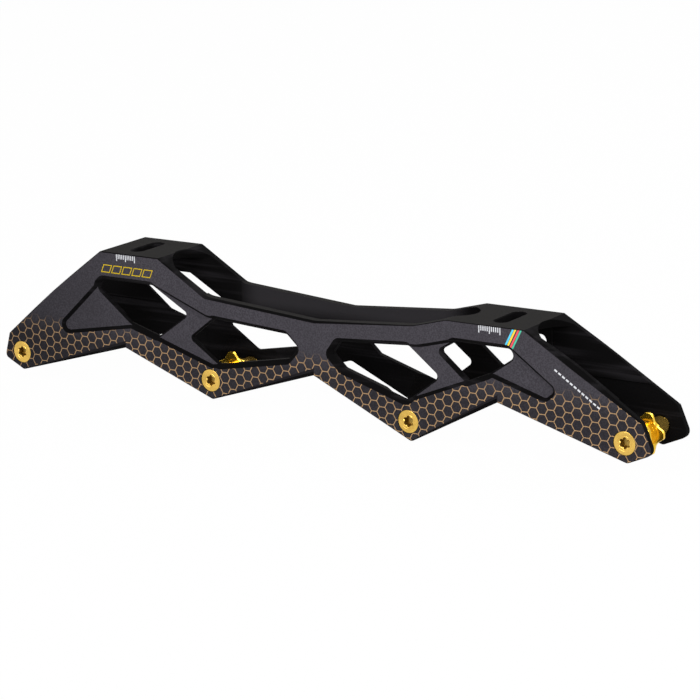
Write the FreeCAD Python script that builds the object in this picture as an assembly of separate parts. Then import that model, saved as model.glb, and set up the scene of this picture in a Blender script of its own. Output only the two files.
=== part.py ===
import FreeCAD, Part
import math
import os

# Inline skate frame for three 110 mm wheels and one 100 mm wheel, milled from one aluminium billet,
# with its four axle bolts and the four loose bearing spacers that they carry.
# Millimetres. X runs to the front, Y away from the side with the bolt heads, Z up.
# Everything is drawn from the rear axle's centre, and one move at the end puts the origin
# under the middle of the whole part, at the height of its lowest point.

# Axle centres, rear to front
axles = [(0.0, 0.0), (111.5, 0.0), (218.0, -5.0), (324.5, 0.0)]

# Walls
half_width = 17.15
rail_inner = 12.6
end_inner = 13.5
hub_inner = 14.3
hub_relief_radius = 15.0
hub_relief_mouth = 18.5
end_zones = [(-30.0, 109.0), (273.0, 360.0)]
hub_zones = [(-30.0, 88.0, 24.7), (247.0, 360.0, 17.6)]
recess_depth = 1.4
recess_slope = 1.5

# Mounting plates
rear_plate_top = 53.9
front_plate_top = 42.65
rear_plate_start = 50.7
rear_plate_end = 84.3
front_plate_start = 238.3
front_plate_end = 277.0
rear_ceiling = 48.2
front_ceiling = 38.0
slot_centres = [(65.2, rear_plate_top), (260.2, front_plate_top)]
slot_width = 6.5
slot_length = 20.5
slot_bevel = 0.45
slot_reach = 14.0

# Inside of the frame: its ends, the room below and above it, and where the plates leave it open at the top
inside_ends = (-30.0, 360.0)
inside_heights = (-30.0, 60.0)
open_top = (93.0, 228.0)

# Wheel scoops: radius over the tyre, and the round profile that they have across the frame
scoop_radii = [60.2, 60.9, 54.3, 64.2]
scoop_profile = 16.0

# Axle bolts
head_radius = 5.2
head_thickness = 1.6
head_recess = 0.05
head_pocket_radius = 5.3
shank_radius = 4.0
shank_end = 14.0
thread_radius = 3.45
thread_start = 14.5
bolt_end = 16.8
bolt_bevel = 0.35
hole_play = 0.05
entry_radius = 4.6
socket_core = 2.0
socket_lobe = 0.62
socket_lobe_centre = 1.93
socket_depth = 3.2
socket_lead = 0.5

# Bearing spacers
spacer_length = 10.3
collar_radius = 5.7
neck_radius = 5.35
collar_width = 1.6
spacer_bevel = 0.3
flange_thickness = 1.4
lobe_count = 5
lobe_radius = 9.5
lobe_half_angle = 9.0
valley_radius = 7.2
valley_half_angle = 6.0
lobe_turns = [30.0, 92.0, 46.0, 2.0]

# Edge bevels: the top ones at each corner of the top line, the wide ones where the bottom rises to the front
top_bevels = [0.5, 0.5, 0.4, 0.4, 1.0, 1.0, 0.3, 0.3, 0.3, 2.0, 0.5]
tip_bevel = 0.35
valley_bevel = 1.8
window_bevel = 0.8
over = 1.0

# Side view of the frame: X, Z and corner radius, from the rear plate round to the rear slope
top_line = [
    (-6.9, 8.9, 3.0),
    (21.1, 32.35, 700.0),
    (rear_plate_start, rear_plate_top, 0.6),
    (rear_plate_end, rear_plate_top, 0.4),
    (110.2, 38.8, 12.0),
    (169.8, 34.35, 14.0),
    (221.5, 38.3, 14.0),
    (front_plate_start, front_plate_top, 0.6),
    (front_plate_end, front_plate_top, 0.4),
    (300.8, 30.2, 150.0),
    (332.5, 9.9, 4.0),
]
bottom_line = [
    (337.9, -3.3, 3.5),
    (325.6, -8.6, 3.0),
    (263.3, 9.45, 3.0),
    (219.3, -13.85, 3.0),
    (168.7, 9.4, 3.0),
    (112.2, -8.75, 3.0),
    (63.1, 9.45, 3.0),
    (0.4, -8.5, 3.0),
    (-10.4, -3.2, 3.0),
]

# Recesses in the outer faces, at the face
rear_recess = [
    (17.1, 10.3, 3.9),
    (51.0, 41.8, 4.0),
    (80.5, 41.8, 4.0),
    (110.5, 30.4, 8.0),
    (154.5, 27.5, 2.0),
    (161.5, 20.6, 2.5),
    (154.5, 13.4, 2.5),
    (112.3, 5.85, 4.0),
    (68.1, 19.35, 6.0),
]
front_recess = [
    (175.6, 20.5, 1.5),
    (181.2, 27.3, 3.0),
    (224.0, 30.2, 8.0),
    (241.0, 34.6, 4.0),
    (270.5, 34.6, 3.0),
    (294.0, 18.0, 3.5),
    (287.0, 12.4, 3.5),
    (260.0, 20.4, 6.0),
    (216.0, 2.8, 4.0),
    (183.0, 12.8, 2.5),
]

# Windows through both walls
rear_window = [
    (47.0, 36.5, 2.5),
    (51.0, 40.4, 2.5),
    (79.0, 40.4, 2.5),
    (99.0, 29.0, 1.5),
    (82.0, 17.0, 2.5),
    (66.0, 21.7, 2.5),
]
second_window = [
    (100.6, 18.4, 1.2),
    (113.8, 28.5, 3.0),
    (153.6, 26.1, 1.5),
    (159.6, 20.5, 1.5),
    (154.3, 14.9, 1.5),
    (116.3, 7.9, 3.0),
]
third_window = [
    (177.6, 20.2, 1.2),
    (182.0, 26.0, 2.0),
    (218.0, 28.6, 2.0),
    (233.5, 16.6, 2.0),
    (217.0, 4.2, 3.0),
    (184.0, 14.2, 1.5),
]
front_window = [
    (233.4, 28.2, 1.5),
    (242.0, 33.2, 2.0),
    (269.2, 33.2, 2.4),
    (271.2, 29.6, 2.4),
    (258.8, 21.2, 4.0),
    (247.5, 16.6, 1.5),
]


def point(x, z, y=0.0):
    return FreeCAD.Vector(x, y, z)


def unit(x, z):
    length = math.hypot(x, z)
    return x / length, z / length


def turning(corners):
    """1 where the corners run anticlockwise in the X-Z view, otherwise -1."""
    area = 0.0
    for (x1, z1, _), (x2, z2, _) in zip(corners, corners[1:] + corners[:1]):
        area += x1 * z2 - x2 * z1
    return 1 if area > 0 else -1


def mitre(before, here, after, turn):
    """Step from a corner that moves both of its sides outwards by one millimetre."""
    ax, az = unit(here[0] - before[0], here[1] - before[1])
    bx, bz = unit(after[0] - here[0], after[1] - here[1])
    nax, naz = az * turn, -ax * turn
    nbx, nbz = bz * turn, -bx * turn
    scale = 1.0 + nax * nbx + naz * nbz
    return (nax + nbx) / scale, (naz + nbz) / scale


def grown(corners, step):
    """The same outline with every side moved outwards by step, and its round corners with it."""
    turn = turning(corners)
    result = []
    for i, (x, z, radius) in enumerate(corners):
        before = corners[i - 1]
        after = corners[(i + 1) % len(corners)]
        mx, mz = mitre(before, (x, z), after, turn)
        cross = (x - before[0]) * (after[1] - z) - (z - before[1]) * (after[0] - x)
        convex = 1 if cross * turn > 0 else -1
        result.append((x + mx * step, z + mz * step, max(radius + convex * step, 0.2)))
    return result


def outline(corners, y):
    """Closed wire through the corners at depth y, each corner rounded by its own arc."""
    edges = []
    starts = []
    ends = []
    middles = []
    for i, (x, z, radius) in enumerate(corners):
        before = corners[i - 1]
        after = corners[(i + 1) % len(corners)]
        ax, az = unit(before[0] - x, before[1] - z)
        bx, bz = unit(after[0] - x, after[1] - z)
        half = 0.5 * math.acos(max(-1.0, min(1.0, ax * bx + az * bz)))
        reach = radius / math.tan(half)
        starts.append(point(x + ax * reach, z + az * reach, y))
        ends.append(point(x + bx * reach, z + bz * reach, y))
        mx, mz = unit(ax + bx, az + bz)
        depth = radius / math.sin(half) - radius
        middles.append(point(x + mx * depth, z + mz * depth, y))
    for i in range(len(corners)):
        edges.append(Part.Arc(starts[i], middles[i], ends[i]).toShape())
        edges.append(Part.LineSegment(ends[i], starts[(i + 1) % len(corners)]).toShape())
    return Part.Wire(edges)


def prism(corners, y_from, y_to):
    face = Part.Face(outline(corners, y_from))
    return face.extrude(point(0, 0, y_to - y_from))


def block(x_from, x_to, z_from, z_to, half):
    return Part.makeBox(x_to - x_from, 2 * half, z_to - z_from, point(x_from, z_from, -half))


def mirrored(shape):
    return shape.mirror(FreeCAD.Vector(0, 0, 0), FreeCAD.Vector(0, 1, 0))


def rod(x, z, radius, y_from, y_to):
    return Part.makeCylinder(radius, y_to - y_from, point(x, z, y_from), FreeCAD.Vector(0, 1, 0))


def cone(x, z, radius_from, radius_to, y_from, y_to):
    return Part.makeCone(radius_from, radius_to, y_to - y_from, point(x, z, y_from), FreeCAD.Vector(0, 1, 0))


def beyond(corner, neighbour):
    """The point as far beyond a corner as its neighbour is before it."""
    return (2 * corner[0] - neighbour[0], 2 * corner[1] - neighbour[1])


def edge_bevel(corners, widths):
    """Cutters for a 45 degree bevel along an open run of the side view's edge, each side of the run
    with the width at its start and the width at its end."""
    cutters = []
    mitres = []
    for i, corner in enumerate(corners):
        first = i == 0
        last = i == len(corners) - 1
        before = beyond(corner, corners[1]) if first else corners[i - 1]
        after = beyond(corner, corners[i - 1]) if last else corners[i + 1]
        mitres.append(mitre(before, corner, after, 1))

    def section(i, width):
        x, z, _ = corners[i]
        mx, mz = mitres[i]
        inner = point(x - mx * (width + over), z - mz * (width + over), half_width + over)
        under = point(x + mx * over, z + mz * over, half_width - width - over)
        outer = point(x + mx * over, z + mz * over, half_width + over)
        return Part.makePolygon([inner, under, outer, inner])

    for i, (start_width, end_width) in enumerate(widths):
        cutters.append(Part.makeLoft([section(i, start_width), section(i + 1, end_width)], True, True))
    return cutters


def wheel_scoop(x, z, top):
    """Room for one wheel, turned about its axle, with a round profile across the frame."""
    side = top - scoop_profile + math.sqrt(scoop_profile ** 2 - hub_inner ** 2)
    edges = [
        Part.LineSegment(point(x, z, -hub_inner), point(x, z + side, -hub_inner)).toShape(),
        Part.Arc(point(x, z + side, -hub_inner), point(x, z + top), point(x, z + side, hub_inner)).toShape(),
        Part.LineSegment(point(x, z + side, hub_inner), point(x, z, hub_inner)).toShape(),
        Part.LineSegment(point(x, z, hub_inner), point(x, z, -hub_inner)).toShape(),
    ]
    face = Part.Face(Part.Wire(edges))
    return face.revolve(point(x, z), FreeCAD.Vector(0, 1, 0), 360)


def channel():
    """The open inside of the frame: wheel scoops, the slot between the plates and the room under them."""
    back, front = inside_ends
    low, high = inside_heights
    spaces = [
        block(back, front, low, front_ceiling, hub_inner),
        block(back, open_top[0], low, rear_ceiling, hub_inner),
        block(open_top[0], open_top[1], low, high, hub_inner),
    ]
    for (x, z), radius in zip(axles, scoop_radii):
        spaces.append(wheel_scoop(x, z, radius))
    widths = [block(back, front, low, high, rail_inner)]
    widths += [block(start, end, low, high, end_inner) for start, end in end_zones]
    widths += [block(start, end, low, top, hub_inner) for start, end, top in hub_zones]
    for x, z in axles[1:3]:
        relief = cone(x, z, hub_relief_mouth, hub_relief_radius, rail_inner, hub_inner)
        widths += [relief, mirrored(relief)]
    return spaces[0].multiFuse(spaces[1:]).common(widths[0].multiFuse(widths[1:]))


def recess(corners):
    """Shallow pocket in the outer face with a sloping wall all round."""
    floor = outline(grown(corners, -recess_slope), half_width - recess_depth)
    reach = recess_slope / recess_depth
    mouth = outline(grown(corners, over * reach), half_width + over)
    return Part.makeLoft([floor, mouth], True, True)


def window_edge(corners):
    """Bevel round the outer edge of a window, continued outwards at the same slope."""
    rise = window_bevel + recess_depth + over
    start = half_width - recess_depth - window_bevel
    return Part.makeLoft([outline(corners, start), outline(grown(corners, rise), start + rise)], True, True)


def mounting_slot(x, z):
    """Slot through a mounting plate, with a bevelled mouth."""
    radius = slot_width / 2
    half = (slot_length - slot_width) / 2
    wide = radius + slot_bevel + over
    down = FreeCAD.Vector(0, 0, -1)
    cutters = [Part.makeBox(slot_width, 2 * half, slot_reach, point(x - radius, z - slot_reach, -half))]
    for y in (-half, half):
        cutters.append(Part.makeCylinder(radius, slot_reach, point(x, z, y), down))
        cutters.append(Part.makeCone(wide, radius, slot_bevel + over, point(x, z + over, y), down))
    mouth = [point(x - wide, z + over, -half), point(x + wide, z + over, -half)]
    mouth += [point(x + radius, z - slot_bevel, -half), point(x - radius, z - slot_bevel, -half)]
    cutters.append(Part.Face(Part.makePolygon(mouth + mouth[:1])).extrude(point(0, 0, 2 * half)))
    return cutters[0].multiFuse(cutters[1:])


def axle_hole(x, z):
    seat = -half_width + head_recess + head_thickness
    pocket = rod(x, z, head_pocket_radius, -half_width - over, seat)
    near_hole = rod(x, z, shank_radius + hole_play, -half_width, 0.0)
    far_hole = rod(x, z, thread_radius + hole_play, 0.0, half_width + over)
    entry_depth = entry_radius - thread_radius - hole_play
    entry = cone(x, z, entry_radius, thread_radius + hole_play, hub_inner, hub_inner + entry_depth)
    return pocket.fuse([near_hole, far_hole, entry])


def frame_body():
    body = prism(top_line + bottom_line, -half_width, half_width)
    body = body.cut(channel())
    windows = [rear_window, second_window, third_window, front_window]
    cutters = [recess(rear_recess), recess(front_recess)]
    cutters += [window_edge(corners) for corners in windows]
    top_widths = list(reversed(top_bevels))
    cutters += edge_bevel(list(reversed(top_line)), list(zip(top_widths, top_widths[1:])))
    plain = (tip_bevel, tip_bevel)
    rising = (tip_bevel, valley_bevel)
    cutters += edge_bevel(list(reversed(bottom_line)), [plain] + [rising, plain] * 3 + [plain])
    cutters += [mirrored(cutter) for cutter in cutters]
    cutters += [prism(corners, -half_width - over, half_width + over) for corners in windows]
    cutters += [mounting_slot(x, z) for x, z in slot_centres]
    cutters += [axle_hole(x, z) for x, z in axles]
    for cutter in cutters:
        body = body.cut(cutter)
    return body.removeSplitter()


def turned(profile, x, z):
    """Solid of revolution about an axle from (radius, y) pairs."""
    corners = [point(x, z + radius, y) for radius, y in profile]
    face = Part.Face(Part.makePolygon(corners + corners[:1]))
    return face.revolve(point(x, z), FreeCAD.Vector(0, 1, 0), 360)


def six_lobe_socket(x, z, y_face):
    core = rod(x, z, socket_core, y_face - over, y_face + socket_depth)
    lobes = []
    for i in range(6):
        angle = math.radians(60 * i + 30)
        lx = x + socket_lobe_centre * math.cos(angle)
        lz = z + socket_lobe_centre * math.sin(angle)
        lobes.append(rod(lx, lz, socket_lobe, y_face - over, y_face + socket_depth))
    mouth = socket_lobe_centre + socket_lobe + socket_lead / 2
    lead = cone(x, z, mouth, mouth - socket_lead, y_face, y_face + socket_lead)
    return core.fuse(lobes + [lead])


def axle_bolt(x, z):
    face = -half_width + head_recess
    seat = face + head_thickness
    profile = [
        (0.0, face),
        (head_radius - bolt_bevel, face),
        (head_radius, face + bolt_bevel),
        (head_radius, seat),
        (shank_radius, seat),
        (shank_radius, shank_end),
        (thread_radius, thread_start),
        (thread_radius, bolt_end - bolt_bevel),
        (thread_radius - bolt_bevel, bolt_end),
        (0.0, bolt_end),
    ]
    return turned(profile, x, z).cut(six_lobe_socket(x, z, face))


def star_flange(x, z, turn):
    """Thin five-lobed star round the spacer's middle, with its first lobe at the given turn."""
    def at(radius, degrees):
        angle = math.radians(degrees + turn)
        return point(x + radius * math.cos(angle), z + radius * math.sin(angle), -flange_thickness / 2)

    edges = []
    step = 360.0 / lobe_count
    for i in range(lobe_count):
        tip = i * step
        valley = tip + step / 2
        tip_turns = (-lobe_half_angle, 0.0, lobe_half_angle)
        tip_arc = [at(lobe_radius, tip + turned_by) for turned_by in tip_turns]
        valley_turns = (-valley_half_angle, 0.0, valley_half_angle)
        valley_arc = [at(valley_radius, valley + turned_by) for turned_by in valley_turns]
        next_tip = at(lobe_radius, tip + step - lobe_half_angle)
        edges.append(Part.Arc(*tip_arc).toShape())
        edges.append(Part.LineSegment(tip_arc[2], valley_arc[0]).toShape())
        edges.append(Part.Arc(*valley_arc).toShape())
        edges.append(Part.LineSegment(valley_arc[2], next_tip).toShape())
    face = Part.Face(Part.Wire(edges))
    return face.extrude(FreeCAD.Vector(0, flange_thickness, 0))


def bearing_spacer(x, z, turn):
    bore = shank_radius + hole_play
    half = spacer_length / 2
    half_profile = [
        (bore, half),
        (collar_radius - spacer_bevel, half),
        (collar_radius, half - spacer_bevel),
        (collar_radius, half - collar_width),
        (neck_radius, half - collar_width - (collar_radius - neck_radius)),
    ]
    profile = half_profile + [(radius, -y) for radius, y in reversed(half_profile)]
    tube = turned(profile, x, z)
    flange = star_flange(x, z, turn).cut(rod(x, z, bore, -over, over))
    return tube.fuse(flange).removeSplitter()


def all_pieces():
    pieces = {"frame_body": frame_body()}
    for number, (axle, turn) in enumerate(zip(axles, lobe_turns), start=1):
        pieces["axle_bolt_%d" % number] = axle_bolt(*axle)
        pieces["bearing_spacer_%d" % number] = bearing_spacer(axle[0], axle[1], turn)
    return pieces


def move_to_origin(pieces):
    """Put the middle of the whole part's underside at the origin, with its lowest point at Z = 0."""
    whole = FreeCAD.BoundBox()
    for shape in pieces.values():
        whole.add(shape.optimalBoundingBox(False))
    print("origin at X", round(whole.Center.x, 4), "Z", round(whole.ZMin, 4), "from the rear axle")
    for shape in pieces.values():
        shape.translate(point(-whole.Center.x, -whole.ZMin, -whole.Center.y))


def export(pieces):
    os.makedirs("parts", exist_ok=True)
    for name, shape in pieces.items():
        shape.exportStep(os.path.join("parts", name + ".step"))
        box = shape.optimalBoundingBox(False)
        limits = [round(v, 2) for v in (box.XMin, box.XMax, box.YMin, box.YMax, box.ZMin, box.ZMax)]
        print(name, "solids", len(shape.Solids), "valid", shape.isValid(), round(shape.Volume, 1), limits)


model = all_pieces()
move_to_origin(model)
export(model)
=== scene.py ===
import logging
import math
from dataclasses import dataclass, field
from enum import Enum
from typing import Callable, Sequence

import bmesh
import bpy
from mathutils import Matrix, Vector


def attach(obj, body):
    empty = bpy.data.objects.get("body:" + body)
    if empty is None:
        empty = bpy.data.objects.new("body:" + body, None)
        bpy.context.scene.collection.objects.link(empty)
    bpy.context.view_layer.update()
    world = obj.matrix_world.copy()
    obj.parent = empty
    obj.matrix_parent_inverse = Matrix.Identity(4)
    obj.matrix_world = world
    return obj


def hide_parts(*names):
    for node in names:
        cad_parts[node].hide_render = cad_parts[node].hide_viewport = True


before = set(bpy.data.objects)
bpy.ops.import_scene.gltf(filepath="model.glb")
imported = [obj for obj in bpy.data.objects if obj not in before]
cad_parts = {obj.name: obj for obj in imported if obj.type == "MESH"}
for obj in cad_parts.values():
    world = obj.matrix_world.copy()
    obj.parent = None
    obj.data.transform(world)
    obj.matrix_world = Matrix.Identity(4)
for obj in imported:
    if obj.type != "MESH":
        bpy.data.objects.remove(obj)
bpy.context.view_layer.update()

log = logging.getLogger("skate_frame")

MM = 0.001

# The rear axle's centre in the shared frame, in millimetres: the drawing's zero point.
ZERO_X = -163.5205
ZERO_Z = 14.5
AXLES = ((0.0, 0.0), (111.5, 0.0), (218.0, -5.0), (324.5, 0.0))
HALF_WIDTH = 17.15

# How far each spacer's star is turned, in degrees, from the rear to the front.
SPACER_TURNS = (30.0, 92.0, 46.0, 2.0)

# How softly a printed or engraved edge ends, in millimetres.
PRINT_SOFT = 0.1

# Edges of a turned piece that bend more than this, in degrees, show as sharp.
CREASE = 32.0

# How many rays ease an edge, and the octaves of each kind of noise.
EDGE_RAYS = 6
FINE = 2.0
GRAINY = 3.0
CLOUDY = 4.0

Socket = bpy.types.NodeSocket
Colour = tuple[float, float, float]
Span = tuple[float, float]
Radius = Callable[[float], float]


class Join(Enum):
    """How two numbers meet in a node tree."""

    ADD = "ADD"
    SUBTRACT = "SUBTRACT"
    MULTIPLY = "MULTIPLY"
    DIVIDE = "DIVIDE"
    LARGER = "MAXIMUM"
    SMALLER = "MINIMUM"
    WRAP = "FLOORED_MODULO"


class Change(Enum):
    """What is done to a single number in a node tree."""

    SIZE = "ABSOLUTE"
    WAVE = "SINE"
    ROOT = "SQRT"


class Graph:
    """The node tree of a finish or of the world, with short calls for the nodes that they share."""

    def __init__(self, owner: bpy.types.Material | bpy.types.World) -> None:
        """Start an empty tree.

        Args:
            owner: The material or world that the tree belongs to.
        """
        owner.use_nodes = True
        self.owner = owner
        self.tree = owner.node_tree
        self.tree.nodes.clear()

    def node(self, kind: str, **settings: object) -> bpy.types.Node:
        """Add a node.

        Args:
            kind: The node's Blender type.
            settings: Attributes to set on it.

        Returns:
            The new node.
        """
        made = self.tree.nodes.new(kind)
        for key, value in settings.items():
            setattr(made, key, value)
        return made

    def feed(self, socket: Socket, value: object) -> None:
        """Link a socket to another one, or set its own value.

        Args:
            socket: The input to feed.
            value: An output socket, a number or a tuple.
        """
        if isinstance(value, bpy.types.NodeSocket):
            self.tree.links.new(value, socket)
        else:
            socket.default_value = value

    def join(self, how: Join, first: object, second: object) -> Socket:
        """Make one number of two.

        Args:
            how: The operation.
            first: A socket or number.
            second: A socket or number.

        Returns:
            The result's socket.
        """
        made = self.node("ShaderNodeMath", operation=how.value)
        self.feed(made.inputs[0], first)
        self.feed(made.inputs[1], second)
        return made.outputs[0]

    def plus(self, first: object, second: object) -> Socket:
        """The sum of two numbers."""
        return self.join(Join.ADD, first, second)

    def minus(self, first: object, second: object) -> Socket:
        """The difference of two numbers."""
        return self.join(Join.SUBTRACT, first, second)

    def times(self, first: object, second: object) -> Socket:
        """The product of two numbers."""
        return self.join(Join.MULTIPLY, first, second)

    def change(self, what: Change, value: object) -> Socket:
        """Change a single number.

        Args:
            what: The operation.
            value: A socket or number.

        Returns:
            The result's socket.
        """
        made = self.node("ShaderNodeMath", operation=what.value)
        self.feed(made.inputs[0], value)
        return made.outputs[0]

    def ramp(self, value: object, start: float, end: float) -> Socket:
        """Smooth step.

        Args:
            value: The socket to read.
            start: Where the result is 0.
            end: Where the result is 1.

        Returns:
            A socket from 0 to 1.
        """
        made = self.node("ShaderNodeMapRange", interpolation_type="SMOOTHSTEP")
        self.feed(made.inputs["Value"], value)
        if start <= end:
            limits = (start, end, 0.0, 1.0)
        else:
            limits = (end, start, 1.0, 0.0)
        for name, limit in zip(("From Min", "From Max", "To Min", "To Max"), limits):
            made.inputs[name].default_value = limit
        return made.outputs["Result"]

    def within(self, value: object, low: float, high: float, soft: float) -> Socket:
        """1 where a value lies between two limits, with soft sides.

        Args:
            value: The socket to read.
            low: The lower limit.
            high: The upper limit.
            soft: The width of each soft side.

        Returns:
            A socket from 0 to 1.
        """
        rising = self.ramp(value, low - soft / 2, low + soft / 2)
        falling = self.ramp(value, high + soft / 2, high - soft / 2)
        return self.times(rising, falling)

    def every(self, masks: Sequence[Socket]) -> Socket:
        """The product of several masks.

        Args:
            masks: Sockets from 0 to 1.

        Returns:
            A socket that is 1 where all of them are.
        """
        result = masks[0]
        for mask in masks[1:]:
            result = self.times(result, mask)
        return result

    def mix(self, factor: object, first: object, second: object) -> Socket:
        """Mix two colours.

        Args:
            factor: 0 gives the first colour and 1 the second.
            first: A colour or colour socket.
            second: A colour or colour socket.

        Returns:
            The colour socket.
        """
        made = self.node("ShaderNodeMix", data_type="RGBA")
        self.feed(made.inputs["Factor"], factor)
        self.feed(made.inputs[6], first)
        self.feed(made.inputs[7], second)
        return made.outputs[2]

    def place(self) -> tuple[Socket, Socket, Socket, Socket]:
        """Where a point lies, in the drawing's millimetres.

        Returns:
            The object coordinates, and X, Y and Z from the rear axle's centre.
        """
        coordinates = self.node("ShaderNodeTexCoord").outputs["Object"]
        split = self.node("ShaderNodeSeparateXYZ")
        self.feed(split.inputs[0], coordinates)
        along = self.minus(self.join(Join.DIVIDE, split.outputs[0], MM), ZERO_X)
        across = self.join(Join.DIVIDE, split.outputs[1], MM)
        up = self.minus(self.join(Join.DIVIDE, split.outputs[2], MM), ZERO_Z)
        return coordinates, along, across, up

    def between(self, value: Socket, low: float, high: float) -> Socket:
        """Carry a value from 0 to 1 over to another range.

        Args:
            value: The socket to read.
            low: The result where the value is 0.
            high: The result where the value is 1.

        Returns:
            The result's socket.
        """
        made = self.node("ShaderNodeMapRange")
        self.feed(made.inputs["Value"], value)
        made.inputs["To Min"].default_value = low
        made.inputs["To Max"].default_value = high
        return made.outputs["Result"]

    def seen(self) -> Socket:
        """1 for the rays that show a background: the camera's own, mirrored and refracted ones."""
        rays = self.node("ShaderNodeLightPath").outputs
        direct = self.join(Join.LARGER, rays["Is Camera Ray"], rays["Is Transmission Ray"])
        return self.join(Join.LARGER, direct, rays["Is Glossy Ray"])

    def noise(self, coordinates: Socket, scale: float, detail: float) -> Socket:
        """Fractal noise on the object coordinates.

        Args:
            coordinates: The coordinates' socket.
            scale: Cells to the metre.
            detail: Octaves.

        Returns:
            A socket around 0.5.
        """
        made = self.node("ShaderNodeTexNoise")
        self.feed(made.inputs["Vector"], coordinates)
        made.inputs["Scale"].default_value = scale
        made.inputs["Detail"].default_value = detail
        return made.outputs["Fac"]

    def stretched(self, coordinates: Socket, scale: tuple[float, float, float]) -> Socket:
        """Coordinates scaled unequally, for grain that runs one way.

        Args:
            coordinates: The coordinates' socket.
            scale: The factor on each axis.

        Returns:
            The new coordinates' socket.
        """
        made = self.node("ShaderNodeMapping")
        self.feed(made.inputs["Vector"], coordinates)
        made.inputs["Scale"].default_value = scale
        return made.outputs[0]

    def surface(self, colour: object, roughness: object, height: object, depth: float,
                metallic: float, specular: float, rounding: float) -> None:
        """End the tree in one shader with eased edges and a fine relief.

        Args:
            colour: The base colour.
            roughness: The roughness.
            height: The relief, 0 to 1.
            depth: The relief's depth in metres.
            metallic: How far it is a bare metal, 0 to 1.
            specular: The specular level.
            rounding: The radius that edges are eased with, in metres.
        """
        eased = self.node("ShaderNodeBevel", samples=EDGE_RAYS)
        eased.inputs["Radius"].default_value = rounding
        relief = self.node("ShaderNodeBump")
        relief.inputs["Distance"].default_value = depth
        self.feed(relief.inputs["Height"], height)
        self.feed(relief.inputs["Normal"], eased.outputs[0])
        shader = self.node("ShaderNodeBsdfPrincipled")
        self.feed(shader.inputs["Base Color"], colour)
        self.feed(shader.inputs["Roughness"], roughness)
        shader.inputs["Metallic"].default_value = metallic
        shader.inputs["Specular IOR Level"].default_value = specular
        self.feed(shader.inputs["Normal"], relief.outputs[0])
        output = self.node("ShaderNodeOutputMaterial")
        self.feed(output.inputs["Surface"], shader.outputs[0])


def rgba(colour: Colour) -> tuple[float, float, float, float]:
    """A colour with full opacity."""
    return (*colour, 1.0)


def scaled(colour: Colour, factor: float) -> Colour:
    """A colour made lighter or darker by a factor."""
    return tuple(factor * channel for channel in colour)


@dataclass(frozen=True)
class Honeycomb:
    """Engraved hexagon lines on the lower band of both outer faces, which fade out upwards."""

    side: float = 2.83
    line: float = 0.38
    line_soft: float = 0.06
    centre_x: float = 5.2
    centre_z: float = 14.6
    full_below: float = 13.0
    gone_above: float = 20.5
    colour: Colour = (0.38, 0.24, 0.125)
    cell_shade: float = 0.5
    shaded_below: float = 8.0
    bare_above: float = 23.0

    def mask(self, graph: Graph, along: Socket, up: Socket) -> Socket:
        """Draw the lines.

        Args:
            graph: The tree to draw in.
            along: X in millimetres.
            up: Z in millimetres.

        Returns:
            1 on a line, fading to 0 upwards.
        """
        pitch_x = 3.0 * self.side
        pitch_z = math.sqrt(3.0) * self.side
        slant = math.radians(30.0)
        x = graph.minus(along, self.centre_x)
        z = graph.minus(up, self.centre_z)
        reaches = []
        for shift in (0.5, 0.0):
            away_x = self.to_centre(graph, x, pitch_x, shift)
            away_z = self.to_centre(graph, z, pitch_z, shift)
            slanted_x = graph.times(away_x, math.cos(slant))
            slanted_z = graph.times(away_z, math.sin(slant))
            slanted = graph.plus(slanted_x, slanted_z)
            reaches.append(graph.join(Join.LARGER, away_z, slanted))
        reach = graph.join(Join.SMALLER, *reaches)
        edge = pitch_z / 2.0 - self.line / 2
        line = graph.ramp(reach, edge - self.line_soft, edge + self.line_soft)
        return graph.times(line, self.fade(graph, up))

    def fade(self, graph: Graph, up: Socket) -> Socket:
        """How strongly the pattern shows at a height.

        Args:
            graph: The tree to draw in.
            up: Z in millimetres.

        Returns:
            1 where the pattern is full and 0 above it.
        """
        return graph.ramp(up, self.gone_above, self.full_below)

    @staticmethod
    def to_centre(graph: Graph, value: Socket, pitch: float, shift: float) -> Socket:
        """How far a value is from the nearest centre of one of the two sets of cells.

        Args:
            graph: The tree to draw in.
            value: The distance along one axis.
            pitch: The spacing of the set.
            shift: The set's start as a share of the pitch.

        Returns:
            The distance, never below 0.
        """
        moved = graph.plus(value, pitch * shift)
        wrapped = graph.join(Join.WRAP, moved, pitch)
        return graph.change(Change.SIZE, graph.minus(wrapped, pitch / 2))


@dataclass(frozen=True)
class Ruler:
    """Printed marks that help to set the frame on the boot: eleven ticks, three of them longer."""

    start: float
    top: float
    pitch: float = 1.04
    gaps: int = 10
    line: float = 0.5
    short: float = 2.1
    long: float = 3.1
    end_soft: float = 0.05

    def mask(self, graph: Graph, along: Socket, up: Socket) -> Socket:
        """Draw the ticks.

        Args:
            graph: The tree to draw in.
            along: X in millimetres.
            up: Z in millimetres.

        Returns:
            1 on a tick.
        """
        ticks = self.comb(graph, along, self.pitch)
        tall = self.comb(graph, along, self.pitch * self.gaps / 2)
        short = graph.within(up, self.top - self.short, self.top, PRINT_SOFT)
        long = graph.within(up, self.top - self.long, self.top, PRINT_SOFT)
        drawn = graph.join(Join.LARGER, graph.times(ticks, short), graph.times(tall, long))
        first = self.start - self.line
        last = self.start + self.pitch * self.gaps + self.line
        return graph.times(drawn, graph.within(along, first, last, self.end_soft))

    def comb(self, graph: Graph, along: Socket, pitch: float) -> Socket:
        """Equal lines at one pitch.

        Args:
            graph: The tree to draw in.
            along: X in millimetres.
            pitch: The lines' spacing.

        Returns:
            1 on a line.
        """
        moved = graph.minus(along, self.start - pitch / 2)
        wrapped = graph.join(Join.WRAP, moved, pitch)
        return graph.within(wrapped, (pitch - self.line) / 2, (pitch + self.line) / 2, PRINT_SOFT)


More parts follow.
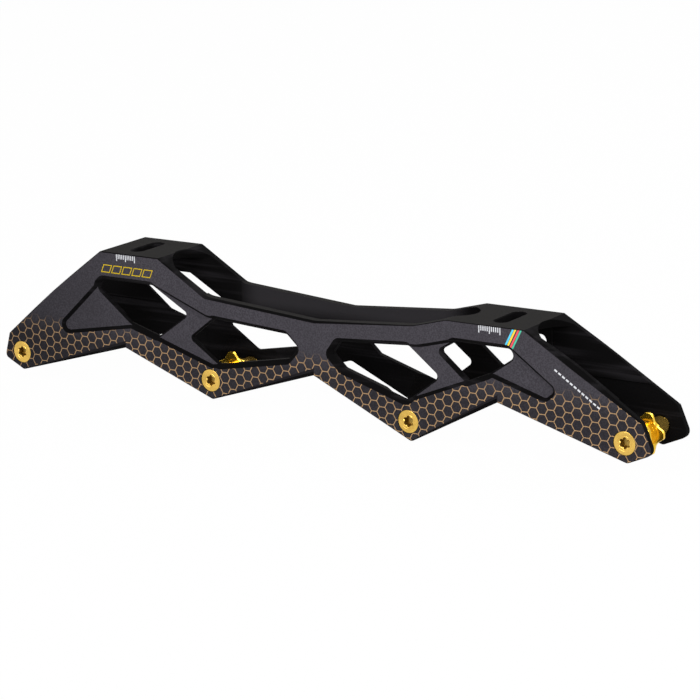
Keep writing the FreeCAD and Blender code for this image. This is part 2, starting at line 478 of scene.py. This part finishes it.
@dataclass(frozen=True)
class SlantedBands:
    """Printed bands that lean with the same slope, each with its own start, width and colour."""

    foot_x: float
    foot_z: float
    lean: float
    low: float
    high: float
    bands: tuple[tuple[float, float, Colour], ...]
    line: float = 0.0

    def paint(self, graph: Graph, along: Socket, up: Socket, face: Socket, under: Socket) -> Socket:
        """Lay the bands over a colour.

        Args:
            graph: The tree to draw in.
            along: X in millimetres.
            up: Z in millimetres.
            face: 1 on the faces that are printed.
            under: The colour below.

        Returns:
            The colour with the bands on it.
        """
        leaned = graph.times(graph.minus(up, self.foot_z), self.lean)
        across = graph.minus(graph.minus(along, self.foot_x), leaned)
        for start, width, colour in self.bands:
            band = self.box(graph, across, up, start, start + width, 0.0)
            if self.line > 0.0:
                hollow = self.box(graph, across, up, start, start + width, self.line)
                band = graph.minus(band, hollow)
            under = graph.mix(graph.times(band, face), under, rgba(colour))
        return under

    def box(self, graph: Graph, across: Socket, up: Socket, start: float, end: float,
            inset: float) -> Socket:
        """One band's outline, drawn in by an inset.

        Args:
            graph: The tree to draw in.
            across: The distance across the bands.
            up: Z in millimetres.
            start: The band's first side.
            end: The band's last side.
            inset: How far it is drawn in.

        Returns:
            1 inside.
        """
        wide = graph.within(across, start + inset, end - inset, PRINT_SOFT)
        tall = graph.within(up, self.low + inset, self.high - inset, PRINT_SOFT)
        return graph.times(wide, tall)


@dataclass(frozen=True)
class DashedLine:
    """A printed line of dashes along the front slope."""

    start_x: float = 291.5
    start_z: float = 27.6
    slope: float = -0.664
    length: float = 26.4
    pitch: float = 2.2
    lead: float = 0.2
    dash: float = 1.5
    width: float = 0.8

    def mask(self, graph: Graph, along: Socket, up: Socket) -> Socket:
        """Draw the dashes.

        Args:
            graph: The tree to draw in.
            along: X in millimetres.
            up: Z in millimetres.

        Returns:
            1 on a dash.
        """
        angle = math.atan(self.slope)
        x = graph.minus(along, self.start_x)
        z = graph.minus(up, self.start_z)
        run = graph.plus(graph.times(x, math.cos(angle)), graph.times(z, math.sin(angle)))
        off = graph.minus(graph.times(z, math.cos(angle)), graph.times(x, math.sin(angle)))
        step = graph.join(Join.WRAP, run, self.pitch)
        dashes = graph.within(step, self.lead, self.lead + self.dash, PRINT_SOFT)
        line = graph.within(off, -self.width / 2, self.width / 2, PRINT_SOFT)
        return graph.every([dashes, line, graph.within(run, 0.0, self.length, PRINT_SOFT)])


@dataclass(frozen=True)
class AnodisedBody:
    """Black anodised milled aluminium with engraved and printed outer faces, and light and shade
    painted into its colour: tones by face, bands along the rising lower edges and darkening towards
    the rear.

    Places and widths are in the drawing's millimetres, and grain in cells to the metre. A span
    gives where its mask is 0 and where it is 1. The rail's reach has the width of its soft ends
    as the third number.
    """

    outer: Colour = (0.053, 0.049, 0.058)
    worn: float = 1.12
    pitted: float = 0.76
    # Painted light and shade: top, rail and inside are the outer finish in other tones. top is
    # painted darker on the upward faces, rail lighter on the mid rails' upper inner faces, and
    # inside near black, as painted shade, on the remaining faces.
    top: Colour = (0.019, 0.018, 0.0175)
    inside: Colour = (0.0024, 0.0022, 0.0024)
    streak: Colour = (0.0125, 0.0115, 0.013)
    rail: Colour = (0.024, 0.0225, 0.025)
    # edge is painted shade, laid in bands along the rising lower edges.
    edge: Colour = (0.012, 0.011, 0.013)
    print_white: Colour = (0.62, 0.63, 0.66)

    looks_aside: Span = (0.86, 0.95)
    looks_up: Span = (0.90, 0.97)
    outer_depth: Span = (HALF_WIDTH - 0.08, HALF_WIDTH - 0.03)
    recess_depth: Span = (15.3, 15.6)
    rail_along: tuple[float, float, float] = (112.0, 226.0, 16.0)
    rail_above: Span = (24.0, 33.0)
    # Painted shade: the outer walls and their honeycomb lines are darkened towards the rear.
    painted_rear_span: Span = (95.0, -20.0)
    painted_rear_shade: float = 0.42
    painted_rear_line_loss: float = 0.7

    cloud_scale: float = 55.0
    cloud_span: Span = (0.3, 0.7)
    speckle_scale: float = 1500.0
    speckle_span: Span = (0.36, 0.64)
    # Paler streaks that run along the frame over the inside colour.
    streak_scale: tuple[float, float, float] = (15.0, 90.0, 170.0)
    streak_share: float = 0.75
    fine_streak_scale: tuple[float, float, float] = (25.0, 90.0, 1100.0)
    streak_span: Span = (0.50, 0.68)

    grain_scale: float = 5200.0
    tool_scale: tuple[float, float, float] = (60.0, 2600.0, 2600.0)
    tool_share: float = 0.8
    engraved_share: float = 1.5
    relief: float = 0.00002
    roughness: Span = (0.78, 0.95)
    specular: float = 0.04
    rounding: float = 0.00025

    # The rising lower edges, each from end to end, with a band of painted shade along each.
    rising_edges: tuple[tuple[float, float, float, float], ...] = (
        (0.4, -8.5, 63.1, 9.45), (112.2, -8.75, 168.7, 9.4), (219.3, -13.85, 263.3, 9.45),
    )
    band_start: float = 0.6
    band_end: float = 3.3
    band_soft: float = 0.12
    band_lead: float = 1.0
    band_tail: float = 0.3

    honeycomb: Honeycomb = Honeycomb()
    rulers: tuple[Ruler, ...] = (Ruler(60.5, 53.4), Ruler(255.0, 42.3))
    stripes: SlantedBands = SlantedBands(
        foot_x=267.2, foot_z=34.4, lean=0.52, low=33.0, high=42.4,
        bands=(
            (0.0, 0.95, (0.10, 0.55, 0.80)),
            (1.15, 0.95, (0.85, 0.62, 0.06)),
            (2.75, 0.95, (0.75, 0.09, 0.11)),
            (3.9, 0.85, (0.08, 0.47, 0.32)),
        ),
    )
    boxes: SlantedBands = SlantedBands(
        foot_x=51.0, foot_z=44.3, lean=0.45, low=44.2, high=48.0,
        bands=tuple((5.9 * i, 5.0, (0.55, 0.38, 0.008)) for i in range(5)),
        line=0.42,
    )
    dashes: DashedLine = DashedLine()

    def build(self) -> bpy.types.Material:
        """Make the material.

        Returns:
            The finished material.
        """
        graph = Graph(bpy.data.materials.new("black_anodised_body"))
        coordinates, along, across, up = graph.place()
        depth = graph.change(Change.SIZE, across)
        sideways, upward = self.facing(graph)
        flat = graph.ramp(sideways, *self.looks_aside)
        face = graph.times(graph.ramp(depth, *self.outer_depth), flat)
        side = graph.times(graph.ramp(depth, *self.recess_depth), flat)
        # Painted shade towards the rear.
        rear = graph.times(graph.ramp(along, *self.painted_rear_span), self.painted_rear_shade)
        rail = graph.every([
            graph.within(along, *self.rail_along), graph.ramp(up, *self.rail_above), flat,
        ])
        streaks = self.inner_streaks(graph, coordinates)
        # Painted shade and light: the near-black inside with paler streaks on faces that are
        # neither outer walls nor upward, the darker top on upward faces, the lighter rail on the
        # mid rails' upper inner faces.
        hollow = graph.mix(streaks, rgba(self.inside), rgba(self.streak))
        colour = graph.mix(graph.ramp(upward, *self.looks_up), hollow, rgba(self.top))
        colour = graph.mix(rail, colour, rgba(self.rail))
        colour = graph.mix(side, colour, self.walls(graph, coordinates, rear))
        # Painted shade in bands along the rising lower edges, where no honeycomb is drawn.
        clear = graph.times(face, self.edge_shade_bands(graph, along, up))
        colour = self.lower_band(graph, up, face, clear, colour)
        # The painted shade towards the rear dims the honeycomb lines too.
        kept = graph.minus(1.0, graph.times(rear, self.painted_rear_line_loss))
        lines = graph.every([self.honeycomb.mask(graph, along, up), clear, kept])
        colour = graph.mix(lines, colour, rgba(self.honeycomb.colour))
        colour = self.printed(graph, along, up, face, colour)
        grain = graph.noise(coordinates, self.grain_scale, FINE)
        tooled = graph.noise(graph.stretched(coordinates, self.tool_scale), 1.0, FINE)
        relief = graph.plus(grain, graph.times(tooled, self.tool_share))
        relief = graph.minus(relief, graph.times(lines, self.engraved_share))
        roughness = graph.between(grain, *self.roughness)
        graph.surface(colour, roughness, relief, self.relief, 0.0, self.specular, self.rounding)
        return graph.owner

    def walls(self, graph: Graph, coordinates: Socket, rear: Socket) -> Socket:
        """The outer walls' clouded and speckled colour, darkened towards the rear by painted shade.

        Args:
            graph: The tree to draw in.
            coordinates: The object coordinates.
            rear: How far the painted shade darkens the wall towards the rear.

        Returns:
            The colour socket.
        """
        cloud = graph.ramp(graph.noise(coordinates, self.cloud_scale, CLOUDY), *self.cloud_span)
        speckle = graph.ramp(graph.noise(coordinates, self.speckle_scale, FINE), *self.speckle_span)
        colour = graph.mix(cloud, rgba(self.outer), rgba(scaled(self.outer, self.worn)))
        colour = graph.mix(speckle, colour, rgba(scaled(self.outer, self.pitted)))
        # Painted shade: the wall darkens towards the inside colour at the rear.
        return graph.mix(rear, colour, rgba(self.inside))

    def inner_streaks(self, graph: Graph, coordinates: Socket) -> Socket:
        """Draw the paler streaks that run along the frame on its inner faces.

        Args:
            graph: The tree to draw in.
            coordinates: The object coordinates.

        Returns:
            1 on a streak.
        """
        broad_streaks = graph.noise(graph.stretched(coordinates, self.streak_scale), 1.0, FINE)
        fine = graph.noise(graph.stretched(coordinates, self.fine_streak_scale), 1.0, FINE)
        broad_streaks = graph.times(broad_streaks, self.streak_share)
        both = graph.plus(broad_streaks, graph.times(fine, 1.0 - self.streak_share))
        return graph.ramp(both, *self.streak_span)

    def lower_band(self, graph: Graph, up: Socket, face: Socket, clear: Socket,
                   under: Socket) -> Socket:
        """Darken the honeycomb's cells, and paint shade in bands along the rising lower edges.

        Args:
            graph: The tree to draw in.
            up: Z in millimetres.
            face: 1 on the outer faces.
            clear: 1 on the outer faces outside the bands of painted shade.
            under: The colour below.

        Returns:
            The colour socket.
        """
        comb = self.honeycomb
        cells = graph.times(graph.ramp(up, comb.bare_above, comb.shaded_below), comb.cell_shade)
        colour = graph.mix(graph.times(cells, face), under, rgba(self.inside))
        # Painted shade: the edge colour fills the bands along the rising lower edges.
        return graph.mix(graph.minus(face, clear), colour, rgba(self.edge))

    def printed(self, graph: Graph, along: Socket, up: Socket, face: Socket,
                under: Socket) -> Socket:
        """Lay the boxes, stripes, rulers and dashes over a colour.

        Args:
            graph: The tree to draw in.
            along: X in millimetres.
            up: Z in millimetres.
            face: 1 on the outer faces.
            under: The colour below.

        Returns:
            The colour socket.
        """
        colour = self.boxes.paint(graph, along, up, face, under)
        colour = self.stripes.paint(graph, along, up, face, colour)
        for mark in (*self.rulers, self.dashes):
            drawn = graph.times(mark.mask(graph, along, up), face)
            colour = graph.mix(drawn, colour, rgba(self.print_white))
        return colour

    def edge_shade_bands(self, graph: Graph, along: Socket, up: Socket) -> Socket:
        """Leave out the bands of painted shade along the lower edges that rise to the front.

        Args:
            graph: The tree to draw in.
            along: X in millimetres.
            up: Z in millimetres.

        Returns:
            0 in a band and 1 elsewhere.
        """
        outside = []
        for x1, z1, x2, z2 in self.rising_edges:
            slope = (z2 - z1 + self.band_end - self.band_start) / (x2 - x1)
            run = graph.times(graph.minus(along, x1), slope)
            above = graph.minus(graph.minus(up, z1 + self.band_start), run)
            over = graph.ramp(above, -self.band_soft, self.band_soft)
            beside = graph.within(along, x1 - self.band_lead, x2 + self.band_tail, self.band_tail)
            outside.append(graph.join(Join.LARGER, over, graph.minus(1.0, beside)))
        return graph.every(outside)

    @staticmethod
    def facing(graph: Graph) -> tuple[Socket, Socket]:
        """How far a face looks to a side and up, from the part's own normal.

        Args:
            graph: The tree to draw in.

        Returns:
            1 on faces that look to either side, and 1 on faces that look up.
        """
        split = graph.node("ShaderNodeSeparateXYZ")
        graph.feed(split.inputs[0], graph.node("ShaderNodeTexCoord").outputs["Normal"])
        return graph.change(Change.SIZE, split.outputs[1]), split.outputs[2]


@dataclass(frozen=True)
class GoldAnodised:
    """Bright gold anodised aluminium with the fine rings that turning leaves, and painted shade in
    a bolt's socket.
    """

    name: str
    colour: Colour
    roughness: float
    ring_pitch: float
    metallic: float
    relief: float
    ring_lean: float = 0.6
    ring_share: float = 0.5
    grain_scale: float = 3500.0
    cloud_scale: float = 260.0
    cloud_span: Span = (0.32, 0.68)
    deep: float = 0.80
    # Painted shade in a bolt's socket: within socket_radius and deeper than socket_depth the colour
    # is darkened.
    socket_radius: Span = (2.75, 2.6)
    socket_depth: Span = (-17.05, -16.6)
    socket_painted_shade: float = 0.4
    smoothest: float = 0.8
    roughest: float = 1.25
    specular: float = 0.5
    rounding: float = 0.0001

    def build(self, axle: tuple[float, float]) -> bpy.types.Material:
        """Make the material for a piece on one axle.

        Args:
            axle: The axle's X and Z in the drawing.

        Returns:
            The finished material.
        """
        graph = Graph(bpy.data.materials.new(self.name))
        coordinates, along, across, up = graph.place()
        x = graph.minus(along, axle[0])
        z = graph.minus(up, axle[1])
        squares = graph.plus(graph.times(x, x), graph.times(z, z))
        radius = graph.change(Change.ROOT, squares)
        reach = graph.plus(radius, graph.times(across, self.ring_lean))
        rings = graph.change(Change.WAVE, graph.times(reach, 2 * math.pi / self.ring_pitch))
        grain = graph.noise(coordinates, self.grain_scale, GRAINY)
        relief = graph.plus(graph.times(rings, self.ring_share), grain)
        cloud = graph.ramp(graph.noise(coordinates, self.cloud_scale, CLOUDY), *self.cloud_span)
        colour = graph.mix(cloud, rgba(scaled(self.colour, self.deep)), rgba(self.colour))
        # Painted shade in the socket's hollow.
        hollow = graph.times(
            graph.ramp(radius, *self.socket_radius), graph.ramp(across, *self.socket_depth)
        )
        colour = graph.mix(hollow, colour, rgba(scaled(self.colour, self.socket_painted_shade)))
        roughness = graph.between(
            grain, self.roughness * self.smoothest, self.roughness * self.roughest
        )
        graph.surface(
            colour, roughness, relief, self.relief, self.metallic, self.specular, self.rounding
        )
        return graph.owner


def round_ring(radius: float) -> Radius:
    """A ring of one radius all round."""
    return lambda angle: radius


@dataclass
class Ring:
    """One station of a turned shape: its place along the axle and its radius by angle."""

    along: float
    radius: Radius


@dataclass
class TurnedShape:
    """A closed shell drawn along an axle, one ring after another."""

    steps: int
    rings: list[Ring] = field(default_factory=list)

    def ring(self, along: float, radius: float | Radius) -> None:
        """Add a station.

        Args:
            along: Y in millimetres.
            radius: The radius in millimetres, or one by angle in radians.
        """
        self.rings.append(Ring(along, radius if callable(radius) else round_ring(radius)))

    def solid(self, name: str, axle: tuple[float, float], open_bore: bool) -> bpy.types.Object:
        """Draw the shell and put it on its axle.

        Args:
            name: The piece's name.
            axle: The axle's X and Z in the drawing.
            open_bore: True joins the last ring to the first one, False closes both ends.

        Returns:
            The finished piece, with its place in its mesh.
        """
        shell = bmesh.new()
        made = bmesh.ops.create_circle(shell, cap_ends=False, radius=1.0, segments=self.steps)
        bmesh.ops.rotate(shell, verts=made["verts"], matrix=Matrix.Rotation(math.pi / 2, 3, "X"))
        self.settle(made["verts"], self.rings[0])
        first = list(shell.edges)
        edges = first
        for ring in self.rings[1:]:
            grown = bmesh.ops.extrude_edge_only(shell, edges=edges)["geom"]
            self.settle([v for v in grown if isinstance(v, bmesh.types.BMVert)], ring)
            edges = [e for e in grown if isinstance(e, bmesh.types.BMEdge)]
        if open_bore:
            bmesh.ops.bridge_loops(shell, edges=first + edges)
        else:
            bmesh.ops.holes_fill(shell, edges=first)
            bmesh.ops.holes_fill(shell, edges=edges)
        move = Vector((axle[0] + ZERO_X, 0.0, axle[1] + ZERO_Z)) * MM
        bmesh.ops.translate(shell, verts=shell.verts, vec=move)
        bmesh.ops.recalc_face_normals(shell, faces=shell.faces)
        self.sort(shell)
        for face in shell.faces:
            face.smooth = len(face.verts) == 4
        for edge in shell.edges:
            edge.smooth = edge.calc_face_angle(0.0) < math.radians(CREASE)
        mesh = bpy.data.meshes.new(name)
        shell.to_mesh(mesh)
        shell.free()
        piece = bpy.data.objects.new(name, mesh)
        bpy.context.scene.collection.objects.link(piece)
        return piece

    @staticmethod
    def sort(shell: bmesh.types.BMesh) -> None:
        """Put the edges and faces in an order that is the same in each run.

        Args:
            shell: The finished shell.
        """
        shell.verts.index_update()
        total = len(shell.verts)

        def rank(item: bmesh.types.BMEdge | bmesh.types.BMFace) -> float:
            """One number made of an item's four lowest points."""
            number = 0
            for index in sorted(vert.index for vert in item.verts)[:4]:
                number = number * total + index
            return float(number)

        shell.edges.sort(key=rank)
        shell.faces.sort(key=rank)

    @staticmethod
    def settle(verts: Sequence[bmesh.types.BMVert], ring: Ring) -> None:
        """Move one ring's points to their radius and place.

        Args:
            verts: The ring's points.
            ring: Their station.
        """
        for vert in verts:
            angle = math.atan2(vert.co.z, vert.co.x)
            radius = ring.radius(angle) * MM
            vert.co = Vector((radius * math.cos(angle), ring.along * MM, radius * math.sin(angle)))


@dataclass
class AxleBolt:
    """A turned axle bolt: flat head with a six-lobe socket, plain shank and a threaded end."""

    number: int
    axle: tuple[float, float]
    head_radius: float = 5.2
    head_face: float = -17.1
    head_thickness: float = 1.6
    bevel: float = 0.35
    shank_radius: float = 4.0
    shank_end: float = 14.0
    thread_crest: float = 3.45
    thread_root: float = 3.0
    thread_start: float = 14.5
    thread_pitch: float = 0.9
    bolt_end: float = 16.8
    thread_steps: int = 23
    socket_lobes: int = 6
    socket_turn: float = 30.0
    socket_mean: float = 2.25
    socket_wave: float = 0.3
    socket_depth: float = 3.2
    socket_taper: float = 0.05
    socket_floor: float = 1.7
    socket_lip: tuple[tuple[float, float], ...] = ((0.3, 0.0), (0.08, 0.18), (0.0, 0.32))
    drill_depth: float = 0.55
    pole_radius: float = 0.12
    groove: tuple[tuple[float, float], ...] = ((0.0, 3.05), (0.09, 3.16), (0.09, 3.3), (0.0, 3.41))
    ease: float = 0.3
    steps: int = 96

    def lobed(self, extra: float) -> Radius:
        """The socket's outline.

        Args:
            extra: How far it is grown.

        Returns:
            The radius by angle.
        """
        turn = math.radians(self.socket_turn)
        mean = self.socket_mean + extra
        return lambda angle: mean + self.socket_wave * math.cos(self.socket_lobes * (angle - turn))

    def thread(self, along: float) -> Radius:
        """The thread's outline at one place along the bolt.

        Args:
            along: Y in millimetres.

        Returns:
            The radius by angle.
        """
        run_in = min(1.0, max(0.0, (along - self.thread_start) / self.thread_pitch))
        run_out = min(1.0, max(0.0, (self.bolt_end - self.bevel - along) / self.thread_pitch))

        def radius(angle: float) -> float:
            """The ridge's height at an angle."""
            phase = (along / self.thread_pitch - angle / (2 * math.pi)) % 1.0
            ridge = 1.0 - abs(2.0 * phase - 1.0)
            cut = (self.thread_crest - self.thread_root) * (1.0 - ridge)
            return self.thread_crest - cut * min(run_in, run_out)

        return radius

    def shape(self) -> TurnedShape:
        """The bolt's stations, from the socket's bottom out over the head to the thread's end.

        Returns:
            The shape to draw.
        """
        face = self.head_face
        bottom = face + self.socket_depth
        turned = TurnedShape(steps=self.steps)
        turned.ring(bottom + self.drill_depth, self.pole_radius)
        turned.ring(bottom, self.socket_floor)
        turned.ring(bottom, self.lobed(-self.socket_taper))
        for depth, growth in self.socket_lip:
            turned.ring(face + depth, self.lobed(growth))
        for depth, radius in self.groove:
            turned.ring(face + depth, radius)
        eased = self.bevel * self.ease
        turned.ring(face, self.head_radius - self.bevel)
        turned.ring(face + eased, self.head_radius - eased)
        turned.ring(face + self.bevel, self.head_radius)
        turned.ring(face + self.head_thickness, self.head_radius)
        turned.ring(face + self.head_thickness, self.shank_radius)
        turned.ring(self.shank_end, self.shank_radius)
        turned.ring(self.thread_start, self.thread_crest)
        length = self.bolt_end - self.bevel - self.thread_start
        for i in range(1, self.thread_steps + 1):
            along = self.thread_start + length * i / self.thread_steps
            turned.ring(along, self.thread(along))
        turned.ring(self.bolt_end, self.thread_crest - self.bevel)
        turned.ring(self.bolt_end, self.pole_radius)
        return turned

    def build(self, finish: GoldAnodised) -> bpy.types.Object:
        """Make the bolt in place of its plain solid.

        Args:
            finish: The bolt's finish.

        Returns:
            The finished piece.
        """
        piece = self.shape().solid(f"turned_axle_bolt_{self.number}", self.axle, open_bore=False)
        piece.data.materials.append(finish.build(self.axle))
        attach(piece, f"axle_{self.number}")
        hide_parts(f"axle_bolt_{self.number}")
        return piece


@dataclass
class BearingSpacer:
    """A turned bearing spacer: two collars, a neck and a five-lobed star flange in the middle."""

    number: int
    axle: tuple[float, float]
    turn: float
    bore: float = 4.05
    half_length: float = 5.15
    collar: float = 5.7
    neck: float = 5.35
    collar_width: float = 1.6
    bore_bevel: float = 0.15
    bevel: float = 0.3
    ease: float = 0.3
    half_flange: float = 0.7
    flange_bevel: float = 0.12
    lobes: int = 5
    lobe_radius: float = 9.5
    lobe_half: float = 9.0
    valley_radius: float = 7.2
    valley_half: float = 6.0
    steps: int = 120

    def star(self, shrink: float) -> Radius:
        """The flange's outline.

        Args:
            shrink: How far it is drawn in for the edge's bevel.

        Returns:
            The radius by angle.
        """
        pitch = 360.0 / self.lobes
        tip = Vector((self.lobe_radius, 0.0))
        tip.rotate(Matrix.Rotation(math.radians(self.lobe_half), 2))
        dip = Vector((self.valley_radius, 0.0))
        dip.rotate(Matrix.Rotation(math.radians(pitch / 2 - self.valley_half), 2))
        side = dip - tip

        def radius(angle: float) -> float:
            """The outline's radius at an angle."""
            step = abs((math.degrees(angle) - self.turn + pitch / 2) % pitch - pitch / 2)
            if step <= self.lobe_half:
                return self.lobe_radius - shrink
            if step >= pitch / 2 - self.valley_half:
                return self.valley_radius - shrink
            ray = Vector((math.cos(math.radians(step)), math.sin(math.radians(step))))
            reach = (tip.x * side.y - tip.y * side.x) / (ray.x * side.y - ray.y * side.x)
            return reach - shrink

        return radius

    def shape(self) -> TurnedShape:
        """The spacer's stations, from the bore over the first collar to the second one.

        Returns:
            The shape to draw.
        """
        half = self.half_length
        shoulder = half - self.collar_width
        slope = self.collar - self.neck
        eased = self.bevel * self.ease
        outside = [
            (half, self.bore + self.bore_bevel),
            (half, self.collar - self.bevel),
            (half - eased, self.collar - eased),
            (half - self.bevel, self.collar),
            (shoulder, self.collar),
            (shoulder - slope, self.neck),
        ]
        flange = self.half_flange
        bevel = self.flange_bevel
        turned = TurnedShape(steps=self.steps)
        turned.ring(-half + self.bore_bevel, self.bore)
        for along, radius in outside:
            turned.ring(-along, radius)
        turned.ring(-flange, self.neck)
        turned.ring(-flange, self.star(bevel))
        turned.ring(-flange + bevel, self.star(0.0))
        turned.ring(flange - bevel, self.star(0.0))
        turned.ring(flange, self.star(bevel))
        turned.ring(flange, self.neck)
        for along, radius in reversed(outside):
            turned.ring(along, radius)
        turned.ring(half - self.bore_bevel, self.bore)
        return turned

    def build(self, finish: GoldAnodised) -> bpy.types.Object:
        """Make the spacer in place of its plain solid.

        Args:
            finish: The spacer's finish.

        Returns:
            The finished piece.
        """
        name = f"turned_bearing_spacer_{self.number}"
        piece = self.shape().solid(name, self.axle, open_bore=True)
        piece.data.materials.append(finish.build(self.axle))
        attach(piece, f"spacer_{self.number}")
        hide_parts(f"bearing_spacer_{self.number}")
        return piece


@dataclass
class MilledBody:
    """The milled frame itself, which keeps its own solid and gets its finish here."""

    node: str = "frame_body"

    def dress(self, finish: AnodisedBody) -> None:
        """Give the solid its finish.

        Args:
            finish: The body's finish.
        """
        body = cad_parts[self.node]
        body.data.materials.clear()
        body.data.materials.append(finish.build())


@dataclass
class Lamp:
    """One soft lamp that looks at the part's middle."""

    name: str
    place: tuple[float, float, float]
    size: float
    power: float
    target: tuple[float, float, float] = (0.0, 0.0, 0.03)

    def build(self) -> None:
        """Hang the lamp."""
        light = bpy.data.lights.new(self.name, "AREA")
        light.shape = "SQUARE"
        light.size = self.size
        light.energy = self.power
        holder = bpy.data.objects.new(self.name, light)
        holder.location = self.place
        aim = Vector(self.target) - Vector(self.place)
        holder.rotation_euler = aim.to_track_quat("-Z", "Y").to_euler()
        bpy.context.scene.collection.objects.link(holder)


@dataclass
class Studio:
    """A pale floor, soft lamps and the camera at the photograph's angle."""

    lamps: tuple[Lamp, ...] = (
        Lamp("key", (-0.2, -1.5, 1.0), 0.9, 21.0),
        Lamp("fill", (1.3, -0.5, 0.6), 0.5, 15.0),
        Lamp("back", (0.2, 1.2, 1.1), 0.8, 8.0),
    )
    world_level: float = 0.22
    floor_size: float = 12.0
    floor_grey: float = 0.9
    floor_glow: float = 0.985
    camera_place: tuple[float, float, float] = (0.7179945, -1.022133, 0.354188)
    azimuth: float = 34.5814
    elevation: float = 14.5197
    roll: float = -1.8089
    lens: float = 148.727
    sensor: float = 36.0
    clip_end: float = 50.0

    def build(self) -> None:
        """Set the floor, the world, the lamps and the camera."""
        self.floor()
        self.world()
        for lamp in self.lamps:
            lamp.build()
        self.camera()

    def floor(self) -> None:
        """Lay the floor, which shows near white and keeps the part's shadow."""
        plane = bmesh.new()
        bmesh.ops.create_grid(plane, x_segments=1, y_segments=1, size=self.floor_size)
        mesh = bpy.data.meshes.new("floor")
        plane.to_mesh(mesh)
        plane.free()
        floor = bpy.data.objects.new("floor", mesh)
        bpy.context.scene.collection.objects.link(floor)
        graph = Graph(bpy.data.materials.new("pale_floor"))
        diffuse = graph.node("ShaderNodeBsdfDiffuse")
        diffuse.inputs["Color"].default_value = rgba((self.floor_grey,) * 3)
        glow = graph.node("ShaderNodeEmission")
        mix = graph.node("ShaderNodeMixShader")
        graph.feed(mix.inputs[0], graph.times(graph.seen(), self.floor_glow))
        graph.feed(mix.inputs[1], diffuse.outputs[0])
        graph.feed(mix.inputs[2], glow.outputs[0])
        output = graph.node("ShaderNodeOutputMaterial")
        graph.feed(output.inputs["Surface"], mix.outputs[0])
        mesh.materials.append(graph.owner)

    def world(self) -> None:
        """Light the scene evenly, and show white where the camera sees past the floor."""
        graph = Graph(bpy.data.worlds.new("studio"))
        soft = graph.node("ShaderNodeBackground")
        soft.inputs["Strength"].default_value = self.world_level
        white = graph.node("ShaderNodeBackground")
        white.inputs["Color"].default_value = rgba((1.0, 1.0, 1.0))
        mix = graph.node("ShaderNodeMixShader")
        graph.feed(mix.inputs[0], graph.seen())
        graph.feed(mix.inputs[1], soft.outputs[0])
        graph.feed(mix.inputs[2], white.outputs[0])
        output = graph.node("ShaderNodeOutputWorld")
        graph.feed(output.inputs["Surface"], mix.outputs[0])
        bpy.context.scene.world = graph.owner

    def camera(self) -> None:
        """Stand the camera where the photograph was taken from."""
        data = bpy.data.cameras.new("camera")
        data.sensor_fit = "HORIZONTAL"
        data.sensor_width = self.sensor
        data.lens = self.lens
        data.clip_end = self.clip_end
        camera = bpy.data.objects.new("camera", data)
        turn = Matrix.Rotation(math.radians(self.azimuth), 3, "Z")
        tilt = Matrix.Rotation(math.radians(90.0 - self.elevation), 3, "X")
        roll = Matrix.Rotation(math.radians(self.roll), 3, "Z")
        camera.matrix_world = Matrix.LocRotScale(
            Vector(self.camera_place), (turn @ tilt @ roll).to_quaternion(), None
        )
        bpy.context.scene.collection.objects.link(camera)
        bpy.context.scene.camera = camera


BOLT_FINISH = GoldAnodised(
    "gold_bolt", (0.76, 0.485, 0.10), roughness=0.25, ring_pitch=0.34, metallic=0.84,
    relief=0.000004,
)
SPACER_FINISH = GoldAnodised(
    "gold_spacer", (0.93, 0.59, 0.05), roughness=0.14, ring_pitch=0.4, metallic=0.92,
    relief=0.0000025,
)


def main() -> None:
    """Dress the frame, build the turned pieces and set up the studio."""
    logging.basicConfig(level=logging.INFO, format="%(name)s: %(message)s")
    MilledBody().dress(AnodisedBody())
    log.info("dressed the milled body")
    for number, (axle, turn) in enumerate(zip(AXLES, SPACER_TURNS), start=1):
        bolt = AxleBolt(number, axle).build(BOLT_FINISH)
        spacer = BearingSpacer(number, axle, turn).build(SPACER_FINISH)
        log.info("made %s and %s", bolt.name, spacer.name)
    Studio().build()
    bpy.context.scene.view_settings.view_transform = "Standard"


if __name__ == "__main__":
    main()
